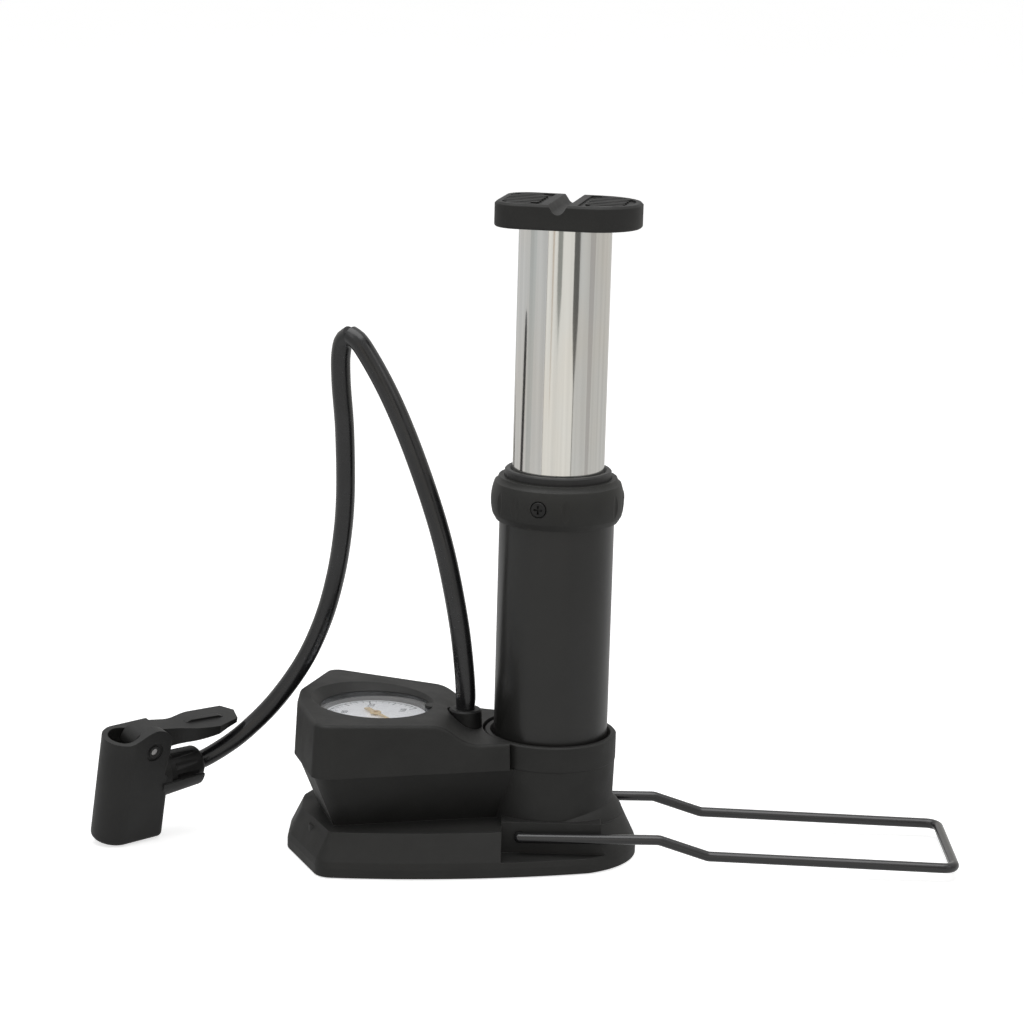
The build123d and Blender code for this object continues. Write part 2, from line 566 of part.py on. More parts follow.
with BuildPart() as foot_pedal:
    with BuildSketch(PEDAL):
        add(pedal_plan.sketch)
    extrude(amount=PEDAL_TOP - PEDAL_BOTTOM)
    fillet(foot_pedal.edges().group_by(Axis.Z)[0], 1.0)
    chamfer(foot_pedal.edges().group_by(Axis.Z)[-1], 0.8)
    # groove across the top that catches the bail when the pump is folded
    with BuildSketch(Plane(origin=PEDAL.origin, x_dir=PEDAL.x_dir, z_dir=-PEDAL.y_dir)):
        height = PEDAL_TOP - PEDAL_BOTTOM
        with BuildLine():
            Line((-GROOVE_R - 1.7, height + 1.2), (-GROOVE_R + 0.3, height - 2.0))
            RadiusArc((-GROOVE_R + 0.3, height - 2.0), (GROOVE_R - 0.3, height - 2.0), -GROOVE_R)
            Polyline((GROOVE_R - 0.3, height - 2.0), (GROOVE_R + 1.7, height + 1.2),
                     (-GROOVE_R - 1.7, height + 1.2))
        make_face()
    extrude(amount=40, both=True, mode=Mode.SUBTRACT)
    # sunk tread on both sides of the groove, with long bars left standing in it
    with BuildSketch(PEDAL.offset(PEDAL_TOP - PEDAL_BOTTOM)):
        add(pedal_plan.sketch)
        offset(amount=-2.6)
        Rectangle(13.0, 60, mode=Mode.SUBTRACT)
        for row in range(-3, 4):
            for side in (-1, 1):
                with Locations((side * 15.0, row * 4.7)):
                    SlotOverall(13.5 if abs(row) < 3 else 9.0, 2.3, mode=Mode.SUBTRACT)
    extrude(amount=-0.8, mode=Mode.SUBTRACT)
    # seat for the tube's end and room for the insert
    ring(0, TUBE_R + SEAT_FIT, PEDAL_BOTTOM - 1, TUBE_TOP + 0.05, mode=Mode.SUBTRACT)
    ring(0, 4.2, TUBE_TOP - 1, INSERT_TOP + 0.05, mode=Mode.SUBTRACT)

with BuildPart() as pedal_insert:
    ring(3.0, 4.15, TUBE_TOP + 0.1, INSERT_TOP)

# ---- folding wire bail --------------------------------------------------------------------
BAIL_SIDE = ((40.5, 13.0), (58.6, 7.3), (149.0, 5.2))
with BuildPart() as foot_bail:
    right = [(x, -BAIL_HALF, z) for x, z in (BAIL_PIVOT, *BAIL_SIDE)]
    left = [(x, BAIL_HALF, z) for x, z in reversed((BAIL_PIVOT, *BAIL_SIDE))]
    with BuildLine() as bail_wire:
        FilletPolyline(*right, *left, radius=4.5)
    with BuildSketch(Plane(origin=bail_wire.line @ 0, z_dir=bail_wire.line % 0)):
        Circle(WIRE_R)
    sweep()
    for side in (-1, 1):
        end = Plane(origin=(BAIL_PIVOT[0], side * 20.5, BAIL_PIVOT[1]), z_dir=(0, side, 0))
        with BuildSketch(end):
            Circle(WIRE_R)
        extrude(amount=BAIL_HALF - 20.5)
        with Locations((BAIL_PIVOT[0], side * BAIL_HALF, BAIL_PIVOT[1])):
            Sphere(WIRE_R)

# ---- chuck --------------------------------------------------------------------------------
# The chuck has its own frame: z along its body from the mouth up, x along the hose arm.
# It stands beside the pump, turned away from the front and leaning a little.
CHUCK_YAW = radians(42)
CHUCK_RISE = radians(1.5)
CHUCK_LEAN = radians(12.5)
CHUCK_X = Vector(cos(CHUCK_YAW) * cos(CHUCK_RISE), sin(CHUCK_YAW) * cos(CHUCK_RISE), sin(CHUCK_RISE))
CHUCK_ACROSS = Vector(-sin(CHUCK_YAW), cos(CHUCK_YAW), 0)
CHUCK_Z = CHUCK_X.cross(CHUCK_ACROSS) * cos(CHUCK_LEAN) - CHUCK_ACROSS * sin(CHUCK_LEAN)
CHUCK = Plane(origin=(-161.3, -6.0, 1.9), x_dir=CHUCK_X, z_dir=CHUCK_Z)
CHUCK_SIDE = Plane(origin=CHUCK.origin, x_dir=CHUCK.x_dir, z_dir=-CHUCK.y_dir)
BODY_R = 8.4          # round end of the body, and half its width
BODY_END = 17.0       # flat end under the hose arm
RIM = 42.2
BORE_X = 3.4          # axis of the valve mouth
BORE_R = 6.6
PIN = (8.3, 37.5)
PIN_R = 1.4
SLOT_HALF = 4.3
LEVER_HALF = 4.1      # half width of the lever at its cam
PADDLE_HALF = 7.3
CAM_R = 6.0
CAM_OFFSET = (-1.19, 1.0)
ARM_Z = 22.0          # height of the hose arm's axis
ARM_RISE = radians(3)
NUT_START = 18.4
NUT_END = 35.0


def chuck_point(x, y, z):
    """A point given in the chuck's frame, in the part's frame."""
    return CHUCK.origin + CHUCK.x_dir * x + CHUCK.y_dir * y + CHUCK.z_dir * z


MOUTH = Plane(origin=chuck_point(BORE_X, 0, 0), x_dir=CHUCK.x_dir, z_dir=CHUCK.z_dir)
ARM_DIR = CHUCK.x_dir * cos(ARM_RISE) + CHUCK.z_dir * sin(ARM_RISE)
ARM = Plane(origin=chuck_point(0, 0, ARM_Z), x_dir=CHUCK.y_dir, z_dir=ARM_DIR)


def round_part(plane, inner, outer, bottom, top, mode=Mode.ADD):
    """A ring, or a disc where inner is 0, about the axis of the given plane."""
    with BuildSketch(plane.offset(bottom)) as profile:
        Circle(outer)
        if inner:
            Circle(inner, mode=Mode.SUBTRACT)
    extrude(profile.sketch, amount=top - bottom, mode=mode)


with BuildPart() as chuck_body:
    with BuildSketch(CHUCK):
        Circle(BODY_R)
        with Locations((BODY_END / 2, 0)):
            Rectangle(BODY_END, 2 * BODY_R)
    extrude(amount=48)
    upright = chuck_body.edges().filter_by(Axis(CHUCK.origin, CHUCK.z_dir))
    fillet(upright.sort_by(Axis(CHUCK.origin, CHUCK.x_dir))[-2:], 2.4)
    fillet(chuck_body.faces().sort_by(Axis(CHUCK.origin, CHUCK.z_dir))[0].edges(), 2.0)
    # side outline: level rim, then the near ear sweeps up over the pin
    with BuildSketch(CHUCK_SIDE):
        with BuildLine():
            Line((BODY_END, 24.5), (BODY_END, -1))
            Polyline((BODY_END, -1), (-12, -1), (-12, RIM), (-3.5, RIM))
            Spline((-3.5, RIM), (3.0, 44.4), (8.3, 46.1), tangents=((1, 0.1), (1, 0.12)))
            RadiusArc((8.3, 46.1), (16.2, 40.5), 8.6)
            Polyline((16.2, 40.5), (14.6, 31.0), (14.2, 27.0), (BODY_END, 24.5))
        make_face()
    extrude(amount=20, both=True, mode=Mode.INTERSECT)
    # the far ear stays low
    with BuildSketch(CHUCK.offset(RIM + 0.1)):
        with Locations((10, 10)):
            Rectangle(40, 20)
    extrude(amount=10, mode=Mode.SUBTRACT)
    # hose arm: a sleeve for the barb, then a half-round cradle under the nut
    round_part(ARM, 0, BODY_R, 12, NUT_START - 0.2)
    with BuildSketch(ARM.offset(14)):
        Circle(9.0)
        with Locations((0, 10)):
            Rectangle(24, 20, mode=Mode.SUBTRACT)
    extrude(amount=NUT_END - 16, taper=1.8)
    round_part(ARM, 0, 7.6, NUT_START - 0.1, NUT_END, Mode.SUBTRACT)
    # open cup behind the lever, slot for the lever, bore for the gland
    with BuildSketch(CHUCK.offset(30)):
        with Locations((BORE_X - 3.4, 0)):
            Circle(BODY_R - 2.2)
    extrude(amount=30, mode=Mode.SUBTRACT)
    with BuildSketch(CHUCK.offset(30)):
        with Locations((12, 0)):
            Rectangle(26, 2 * SLOT_HALF)
    extrude(amount=30, mode=Mode.SUBTRACT)
    round_part(MOUTH, 0, BORE_R + RUN_FIT, 3.0, 33.5, Mode.SUBTRACT)
    round_part(MOUTH, 0, 7.4, -1, 3.4, Mode.SUBTRACT)
    round_part(ARM, 0, 3.0 + SEAT_FIT, 2, 30, Mode.SUBTRACT)
    # pin hole with a round recess at each end
    with BuildSketch(CHUCK_SIDE.offset(-20)):
        with Locations(PIN):
            Circle(PIN_R + 0.02)
    extrude(amount=40, mode=Mode.SUBTRACT)
    for side in (-1, 1):
        with BuildSketch(CHUCK_SIDE.offset(side * (BODY_R - 0.6))):
            with Locations(PIN):
                Circle(3.6)
                Circle(2.3, mode=Mode.SUBTRACT)
        extrude(amount=side * 3, mode=Mode.SUBTRACT)

with BuildPart() as chuck_lever:
    # side view: cam, neck dipping behind the ears, slightly drooping thumb paddle
    with BuildSketch(CHUCK_SIDE):
        with Locations((PIN[0] + CAM_OFFSET[0], PIN[1] + CAM_OFFSET[1])):
            Circle(CAM_R)
        with BuildLine():
            Spline((7.1, 44.5), (19.0, 43.0), (34.0, 41.7), (49.0, 40.9), tangents=((1, 0), (1, -0.05)))
            Polyline((49.0, 40.9), (52.3, 40.5), (52.3, 39.2), (47.0, 38.9))
            Spline((47.0, 38.9), (35.7, 37.7), (24.0, 36.2), (13.0, 35.5), tangents=((-1, 0), (-1, 0)))
            Polyline((13.0, 35.5), (7.1, 34.0), (7.1, 44.5))
        make_face()
    extrude(amount=PADDLE_HALF + 1, both=True)
    # plan view: narrow cam and neck, broad paddle cut off askew at the tip
    with BuildSketch(CHUCK.offset(25)):
        with BuildLine():
            Polyline((-2, -LEVER_HALF), (19.5, -LEVER_HALF))
            Spline((19.5, -LEVER_HALF), (28.0, -5.9), (38.5, -PADDLE_HALF), tangents=((1, 0), (1, -0.05)))
            Polyline(
                (38.5, -PADDLE_HALF), (49.0, -3.6), (52.0, 3.0), (48.5, PADDLE_HALF), (33.5, PADDLE_HALF),
            )
            Spline((33.5, PADDLE_HALF), (26.5, 5.6), (19.5, LEVER_HALF), tangents=((-1, -0.05), (-1, 0)))
            Polyline((19.5, LEVER_HALF), (-2, LEVER_HALF), (-2, -LEVER_HALF))
        make_face()
    extrude(amount=30, mode=Mode.INTERSECT)
    # rib along the top of the paddle
    with BuildSketch(CHUCK_SIDE):
        with BuildLine():
            Polyline(
                (27.0, 41.0), (44.0, 40.2), (44.0, 41.3), (42.0, 42.1), (29.5, 42.9), (27.0, 42.2),
                (27.0, 41.0),
            )
        make_face()
    extrude(amount=0.9, both=True)
    with BuildSketch(CHUCK_SIDE.offset(-20)):
        with Locations(PIN):
            Circle(PIN_R + RUN_FIT)
    extrude(amount=40, mode=Mode.SUBTRACT)

with BuildPart() as lever_pin:
    with BuildSketch(CHUCK_SIDE.offset(-BODY_R + 0.4)):
        with Locations(PIN):
            Circle(PIN_R)
    extrude(amount=2 * BODY_R - 0.8)

PLUNGER_TOP = PIN[1] + CAM_OFFSET[1] - CAM_R - 0.06
with BuildPart() as gland_plunger:
    round_part(MOUTH, 0, BORE_R, 17.6, PLUNGER_TOP)
    round_part(MOUTH, 0, 2.2, 16, 27, Mode.SUBTRACT)
    round_part(MOUTH, BORE_R - 1.3, BORE_R + 1, 18.6, 26.2, Mode.SUBTRACT)
    with BuildSketch(Plane(origin=chuck_point(BORE_X, 0, ARM_Z), z_dir=CHUCK.x_dir)):
        Circle(1.4)
    extrude(amount=9, mode=Mode.SUBTRACT)

with BuildPart() as valve_gland:
    round_part(MOUTH, 3.9, BORE_R - 0.3, 3.6, 15.3)

with BuildPart() as gland_cap:
    round_part(MOUTH, 4.6, 7.35, 0.15, 3.35)
    fillet(gland_cap.faces().sort_by(Axis(CHUCK.origin, CHUCK.z_dir))[0].outer_wire().edges(), 0.6)

with BuildPart() as hose_nut:
    with BuildSketch(ARM.offset(NUT_START)):
        Circle(7.4)
    with BuildSketch(ARM.offset(NUT_END)):
        Circle(6.3)
    loft()
    fillet(hose_nut.faces().sort_by(Axis(ARM.origin, ARM_DIR))[-1].edges(), 1.8)
    round_part(ARM, 0, HOSE_R + SEAT_FIT, NUT_START - 1, NUT_END + 1, Mode.SUBTRACT)
    with BuildSketch(ARM.offset(NUT_START + 3.0)):
        with PolarLocations(8.3, 10):
            Circle(1.9)
    extrude(amount=10, mode=Mode.SUBTRACT)

with BuildPart() as chuck_barb:
    round_part(ARM, 1.0, 3.0, 11.0, NUT_START - 0.4)
    round_part(ARM, 1.0, 1.7, NUT_START - 0.5, NUT_END - 2)
    for start in (21.0, 25.0, 29.0):
        with BuildSketch(ARM.offset(start)):
            Circle(HOSE_BORE_R - SEAT_FIT)
            Circle(1.1, mode=Mode.SUBTRACT)
        extrude(amount=1.8, taper=8)

# ---- hose ---------------------------------------------------------------------------------
with BuildPart() as hose_boot:
    with BuildSketch(Plane.XZ):
        with BuildLine():
            Polyline(
                (HOSE_R + SEAT_FIT, 39.0), (5.4, 39.0), (5.4, SHELF_TOP + 0.05), (6.3, SHELF_TOP + 0.05),
                (6.0, BOOT_TOP - 0.6), (5.4, BOOT_TOP), (HOSE_R + SEAT_FIT, BOOT_TOP),
                (HOSE_R + SEAT_FIT, 39.0),
            )
        make_face()
    revolve(axis=Axis.Z)
    hose_boot.part = hose_boot.part.moved(Location((BOOT_X, 0, 0)))

with BuildPart() as hose_root:
    ring(HOSE_BORE_R, HOSE_R, 39.0, BOOT_TOP - 0.1, (BOOT_X, 0))

# The free hose climbs from the boot, turns over a tight crown and drops to the chuck.
BEND_GAP = 3.2        # lets the end of the hose bend at the chuck
HOSE_BEND = ARM.origin + ARM_DIR * (NUT_END + 0.6 + BEND_GAP / 2)
APPROACH = Vector(0.80, 0.42, 0.34).normalized()
with BuildPart() as hose_loop:
    with BuildLine() as loop_line:
        crown = ThreePointArc((-73.8, 3.9, 189.0), (-76.6, 6.0, 190.6), (-80.3, 8.8, 186.0))
        Spline(
            (BOOT_X, 0, BOOT_TOP + 0.2), (-35.0, 0.1, 86.8), (-41.7, 0.5, 116.7), (-51.7, 1.1, 146.1),
            (-61.1, 1.6, 168.0), (-69.0, 2.5, 182.3), crown @ 0,
            tangents=((0, 0, 1), crown % 0),
        )
        Spline(
            crown @ 1, (-80.1, 10.4, 173.3), (-78.6, 12.0, 154.5), (-78.1, 14.6, 127.8), (-81.7, 18.0, 96.6),
            (-92.8, 20.8, 64.5), (-103.4, 21.2, 48.4), (-113.0, 20.5, 38.0), (-120.4, 18.9, 31.9),
            HOSE_BEND + APPROACH * (BEND_GAP / 2),
            tangents=(crown % 1, -APPROACH),
        )
    with BuildSketch(Plane(origin=(BOOT_X, 0, BOOT_TOP + 0.2))):
        Circle(HOSE_R)
        Circle(HOSE_BORE_R, mode=Mode.SUBTRACT)
    sweep(path=loop_line.wire())

with BuildPart() as hose_end:
    round_part(ARM, HOSE_BORE_R, HOSE_R, NUT_START, NUT_END + 0.6)

# ---- export -------------------------------------------------------------------------------
PIECES = {
    "base_housing": base_housing,
    "bottom_plate": bottom_plate,
    "rubber_sole": rubber_sole,
    "plate_screws": plate_screws,
    "cover_screws": cover_screws,
    "gauge_cover": gauge_cover,
    "barrel_tube": barrel_tube,
    "guide_collar": guide_collar,
    "guide_bush": guide_bush,
    "collar_screws": collar_screws,
    "valve_block": valve_block,
    "valve_plug": valve_plug,
    "check_ball": check_ball,
    "check_spring": check_spring,
    "cylinder_gasket": cylinder_gasket,
    "pump_cylinder": pump_cylinder,
    "air_manifold": air_manifold,
    "gauge_stem": gauge_stem,
    "hose_barb": hose_barb,
    "gauge_case": gauge_case,
    "gauge_socket": gauge_socket,
    "bourdon_tube": bourdon_tube,
    "gauge_arbor": gauge_arbor,
    "gauge_dial": gauge_dial,
    "gauge_needle": gauge_needle,
    "gauge_lens": gauge_lens,
    "plunger_tube": plunger_tube,
    "lower_guide_ring": lower_guide_ring,
    "top_plug": top_plug,
    "piston_rod": piston_rod,
    "piston_head": piston_head,
    "piston_seal": piston_seal,
    "piston_nut": piston_nut,
    "return_spring": return_spring,
    "foot_pedal": foot_pedal,
    "pedal_insert": pedal_insert,
    "foot_bail": foot_bail,
    "chuck_body": chuck_body,
    "chuck_lever": chuck_lever,
    "lever_pin": lever_pin,
    "gland_plunger": gland_plunger,
    "valve_gland": valve_gland,
    "gland_cap": gland_cap,
    "hose_nut": hose_nut,
    "chuck_barb": chuck_barb,
    "hose_boot": hose_boot,
    "hose_root": hose_root,
    "hose_loop": hose_loop,
    "hose_end": hose_end,
}

os.makedirs("parts", exist_ok=True)
for label, piece in PIECES.items():
    piece.part.label = label
    export_step(piece.part, f"parts/{label}.step")
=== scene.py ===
import json
from math import cos, pi, radians, sin

import bpy
from mathutils import Matrix, Vector

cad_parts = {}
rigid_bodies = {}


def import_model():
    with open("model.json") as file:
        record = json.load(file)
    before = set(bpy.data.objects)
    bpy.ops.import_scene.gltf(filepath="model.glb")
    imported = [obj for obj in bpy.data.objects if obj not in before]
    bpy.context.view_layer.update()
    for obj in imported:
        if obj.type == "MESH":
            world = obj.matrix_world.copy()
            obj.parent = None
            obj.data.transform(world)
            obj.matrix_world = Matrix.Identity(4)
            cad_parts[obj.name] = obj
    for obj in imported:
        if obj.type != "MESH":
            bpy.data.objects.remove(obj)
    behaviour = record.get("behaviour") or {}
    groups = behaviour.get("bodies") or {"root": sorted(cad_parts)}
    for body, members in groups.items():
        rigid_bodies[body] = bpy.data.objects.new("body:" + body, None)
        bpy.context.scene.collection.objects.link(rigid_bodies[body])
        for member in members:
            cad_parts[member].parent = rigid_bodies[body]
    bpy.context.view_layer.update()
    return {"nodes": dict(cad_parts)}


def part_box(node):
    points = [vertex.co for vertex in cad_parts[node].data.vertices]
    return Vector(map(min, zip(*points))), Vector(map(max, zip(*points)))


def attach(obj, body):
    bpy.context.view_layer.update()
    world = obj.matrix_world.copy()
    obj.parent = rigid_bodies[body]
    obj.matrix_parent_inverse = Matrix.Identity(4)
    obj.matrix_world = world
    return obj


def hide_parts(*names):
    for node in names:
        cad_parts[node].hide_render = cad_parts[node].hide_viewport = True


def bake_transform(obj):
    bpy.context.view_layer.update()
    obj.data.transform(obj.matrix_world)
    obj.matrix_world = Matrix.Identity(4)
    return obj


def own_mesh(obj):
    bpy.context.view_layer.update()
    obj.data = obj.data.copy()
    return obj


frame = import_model()
MM = 0.001


# ---- materials ---------------------------------------------------------------------------
class Tree:
    """A material's node tree, with short calls for the nodes used here."""

    def __init__(self, name):
        self.material = bpy.data.materials.new(name)
        self.material.use_nodes = True
        self.nodes = self.material.node_tree.nodes
        self.links = self.material.node_tree.links
        self.bsdf = self.nodes["Principled BSDF"]
        self.output = self.nodes["Material Output"]
        self.coords = self.nodes.new("ShaderNodeTexCoord").outputs["Object"]

    def put(self, value, socket):
        if isinstance(value, bpy.types.NodeSocket):
            self.links.new(value, socket)
        else:
            socket.default_value = value

    def stretched(self, scale):
        node = self.nodes.new("ShaderNodeMapping")
        node.inputs["Scale"].default_value = scale
        self.links.new(self.coords, node.inputs["Vector"])
        return node.outputs["Vector"]

    def noise(self, scale, detail=3.0, stretch=None, rough=0.55):
        node = self.nodes.new("ShaderNodeTexNoise")
        node.inputs["Scale"].default_value = scale
        node.inputs["Detail"].default_value = detail
        node.inputs["Roughness"].default_value = rough
        self.links.new(self.stretched(stretch) if stretch else self.coords, node.inputs["Vector"])
        return node.outputs["Fac"]

    def grain(self, scale):
        node = self.nodes.new("ShaderNodeTexVoronoi")
        node.inputs["Scale"].default_value = scale
        self.links.new(self.coords, node.inputs["Vector"])
        return node.outputs["Distance"]

    def remap(self, value, low, high, to_low, to_high):
        node = self.nodes.new("ShaderNodeMapRange")
        self.put(value, node.inputs["Value"])
        ends = {"From Min": low, "From Max": high, "To Min": to_low, "To Max": to_high}
        for key, number in ends.items():
            node.inputs[key].default_value = number
        return node.outputs["Result"]

    def math(self, kind, a, b=0.0):
        node = self.nodes.new("ShaderNodeMath")
        node.operation = kind
        self.put(a, node.inputs[0])
        self.put(b, node.inputs[1])
        return node.outputs[0]

    def blend(self, fac, a, b):
        node = self.nodes.new("ShaderNodeMix")
        node.data_type = "RGBA"
        self.put(fac, node.inputs["Factor"])
        for value, key in ((a, "A"), (b, "B")):
            socket = [s for s in node.inputs if s.name == key and s.type == "RGBA"][0]
            self.put(value if isinstance(value, bpy.types.NodeSocket) else (*value, 1), socket)
        return [s for s in node.outputs if s.type == "RGBA"][0]

    def bump(self, height, strength, distance, under=None):
        node = self.nodes.new("ShaderNodeBump")
        node.inputs["Strength"].default_value = strength
        node.inputs["Distance"].default_value = distance
        self.put(height, node.inputs["Height"])
        if under is not None:
            self.put(under, node.inputs["Normal"])
        return node.outputs["Normal"]

    def rounded(self, radius):
        node = self.nodes.new("ShaderNodeBevel")
        node.samples = 4
        node.inputs["Radius"].default_value = radius
        return node.outputs["Normal"]

    def edges(self, rounded):
        """1 on edges, 0 on faces; the mask of the painted edge highlight."""
        geometry = self.nodes.new("ShaderNodeNewGeometry").outputs["Normal"]
        dot = self.nodes.new("ShaderNodeVectorMath")
        dot.operation = "DOT_PRODUCT"
        self.links.new(rounded, dot.inputs[0])
        self.links.new(geometry, dot.inputs[1])
        return self.remap(dot.outputs["Value"], 0.99, 0.90, 0.0, 1.0)


def scaled(colour, factor):
    return tuple(min(1.0, c * factor) for c in colour)


def plastic(name, colour, rough, grain=2600, depth=0.35, edge_highlight_gain=1.9):
    """Moulded plastic: spark-eroded grain, soft mottling, and a painted highlight that makes the
    edges a little lighter.
    """
    t = Tree(name)
    soft = t.rounded(0.35 * MM)
    mottle = t.remap(t.noise(55, 4), 0.3, 0.7, 0.0, 1.0)
    base = t.blend(mottle, scaled(colour, 0.86), scaled(colour, 1.14))
    # painted highlight: the edges are lightened by an amount broken up with noise, standing in for
    # light caught on them
    edge_highlight = t.math("MULTIPLY", t.edges(soft), t.remap(t.noise(160, 3), 0.35, 0.65, 0.25, 0.9))
    t.put(t.blend(edge_highlight, base, scaled(colour, edge_highlight_gain)), t.bsdf.inputs["Base Color"])
    t.put(t.remap(t.noise(90, 4), 0.3, 0.7, rough - 0.05, rough + 0.07), t.bsdf.inputs["Roughness"])
    waves = t.bump(t.noise(70, 2), 0.12, 0.3 * MM, soft)
    t.put(t.bump(t.grain(grain), depth, 0.04 * MM, waves), t.bsdf.inputs["Normal"])
    t.bsdf.inputs["Specular IOR Level"].default_value = 0.42
    return t.material


def metal(name, colour, rough, stretch=(1, 1, 1), metallic=1.0):
    """Machined or drawn metal: tool marks run along the stretched direction."""
    t = Tree(name)
    soft = t.rounded(0.15 * MM)
    marks = t.noise(400, 4, stretch)
    haze = t.noise(60, 3)
    t.put(t.blend(t.remap(haze, 0.3, 0.7, 0, 1), scaled(colour, 0.85), colour),
          t.bsdf.inputs["Base Color"])
    t.put(t.remap(marks, 0.3, 0.7, rough * 0.7, rough * 1.4), t.bsdf.inputs["Roughness"])
    t.put(t.bump(marks, 0.15, 0.01 * MM, soft), t.bsdf.inputs["Normal"])
    t.bsdf.inputs["Metallic"].default_value = metallic
    return t.material


def chrome(name):
    """Bright plating with faint drawing lines along the tube and a warm, hazy film in places."""
    t = Tree(name)
    lines = t.noise(260, 3, (1, 1, 0.03))
    haze = t.noise(28, 3, (1, 1, 0.45))
    warm = t.remap(haze, 0.45, 0.72, 0.0, 1.0)
    t.put(t.blend(warm, (0.83, 0.84, 0.83), (0.86, 0.82, 0.76)), t.bsdf.inputs["Base Color"])
    t.put(t.remap(lines, 0.3, 0.7, 0.045, 0.13), t.bsdf.inputs["Roughness"])
    t.put(t.bump(lines, 0.10, 0.02 * MM), t.bsdf.inputs["Normal"])
    t.bsdf.inputs["Metallic"].default_value = 1.0
    return t.material


def paint(name, colour, rough, coat=0.3, scale=900, edge_highlight_gain=1.6):
    """Painted or powder-coated metal: fine orange peel, slightly uneven gloss, and a painted
    highlight that makes the edges lighter.
    """
    t = Tree(name)
    soft = t.rounded(0.3 * MM)
    cloud = t.remap(t.noise(40, 3), 0.3, 0.7, 0, 1)
    base = t.blend(cloud, scaled(colour, 0.85), scaled(colour, 1.15))
    # painted highlight: the edges are lightened, standing in for light caught on them
    t.put(t.blend(t.math("MULTIPLY", t.edges(soft), 0.5), base, scaled(colour, edge_highlight_gain)),
          t.bsdf.inputs["Base Color"])
    streaks = t.noise(120, 3, (1, 1, 0.15))
    t.put(t.remap(streaks, 0.3, 0.7, rough * 0.85, rough * 1.2), t.bsdf.inputs["Roughness"])
    t.put(t.bump(t.noise(scale, 2), 0.12, 0.03 * MM, soft), t.bsdf.inputs["Normal"])
    t.bsdf.inputs["Coat Weight"].default_value = coat
    t.bsdf.inputs["Coat Roughness"].default_value = 0.12
    return t.material


def rubber(name, colour, rough):
    """Moulded rubber: fine matt grain, cloudy bloom."""
    t = Tree(name)
    bloom = t.remap(t.noise(80, 4), 0.3, 0.7, 0, 1)
    t.put(t.blend(bloom, scaled(colour, 0.75), scaled(colour, 1.3)), t.bsdf.inputs["Base Color"])
    t.put(t.remap(t.noise(200, 3), 0.3, 0.7, rough - 0.08, rough + 0.08),
          t.bsdf.inputs["Roughness"])
    t.put(t.bump(t.noise(1800, 3), 0.35, 0.05 * MM, t.rounded(0.25 * MM)), t.bsdf.inputs["Normal"])
    t.bsdf.inputs["Specular IOR Level"].default_value = 0.35
    return t.material


def hose_skin(name):
    """Shiny black PVC: extrusion lines along the hose, dull rubbed patches."""
    t = Tree(name)
    rub = t.remap(t.noise(45, 4), 0.4, 0.75, 0.0, 1.0)
    t.put(t.blend(rub, (0.010, 0.010, 0.011), (0.024, 0.024, 0.026)), t.bsdf.inputs["Base Color"])
    t.put(t.remap(t.noise(150, 4), 0.3, 0.7, 0.20, 0.34), t.bsdf.inputs["Roughness"])
    t.put(t.bump(t.noise(900, 3), 0.10, 0.03 * MM), t.bsdf.inputs["Normal"])
    t.bsdf.inputs["Coat Weight"].default_value = 0.35
    t.bsdf.inputs["Coat Roughness"].default_value = 0.15
    return t.material


def dial_face(name):
    """Silver-white lacquered metal with a fine sunburst turned into it, and a faint painted glow
    that lifts it out of the shade of its recess.
    """
    t = Tree(name)
    centre = (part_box("gauge_dial")[0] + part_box("gauge_dial")[1]) / 2
    split = t.nodes.new("ShaderNodeSeparateXYZ")
    t.links.new(t.coords, split.inputs[0])
    angle = t.math("ARCTAN2", t.math("SUBTRACT", split.outputs["Y"], centre.y),
                   t.math("SUBTRACT", split.outputs["X"], centre.x))
    burst = t.nodes.new("ShaderNodeTexNoise")
    burst.noise_dimensions = "1D"
    burst.inputs["Scale"].default_value = 26
    t.links.new(angle, burst.inputs["W"])
    fine = t.noise(900, 2)
    rays = t.remap(burst.outputs["Fac"], 0.3, 0.7, 0, 1)
    t.put(t.blend(rays, (0.80, 0.81, 0.83), (0.93, 0.94, 0.96)), t.bsdf.inputs["Base Color"])
    t.put(t.remap(fine, 0.3, 0.7, 0.32, 0.5), t.bsdf.inputs["Roughness"])
    t.put(t.bump(fine, 0.1, 0.02 * MM), t.bsdf.inputs["Normal"])
    t.bsdf.inputs["Metallic"].default_value = 0.1
    # painted light: the dial glows faintly though it is no lamp, to brighten it in its shaded
    # recess under the lens
    t.bsdf.inputs["Emission Color"].default_value = (0.9, 0.93, 1.0, 1)
    t.bsdf.inputs["Emission Strength"].default_value = 0.13
    return t.material


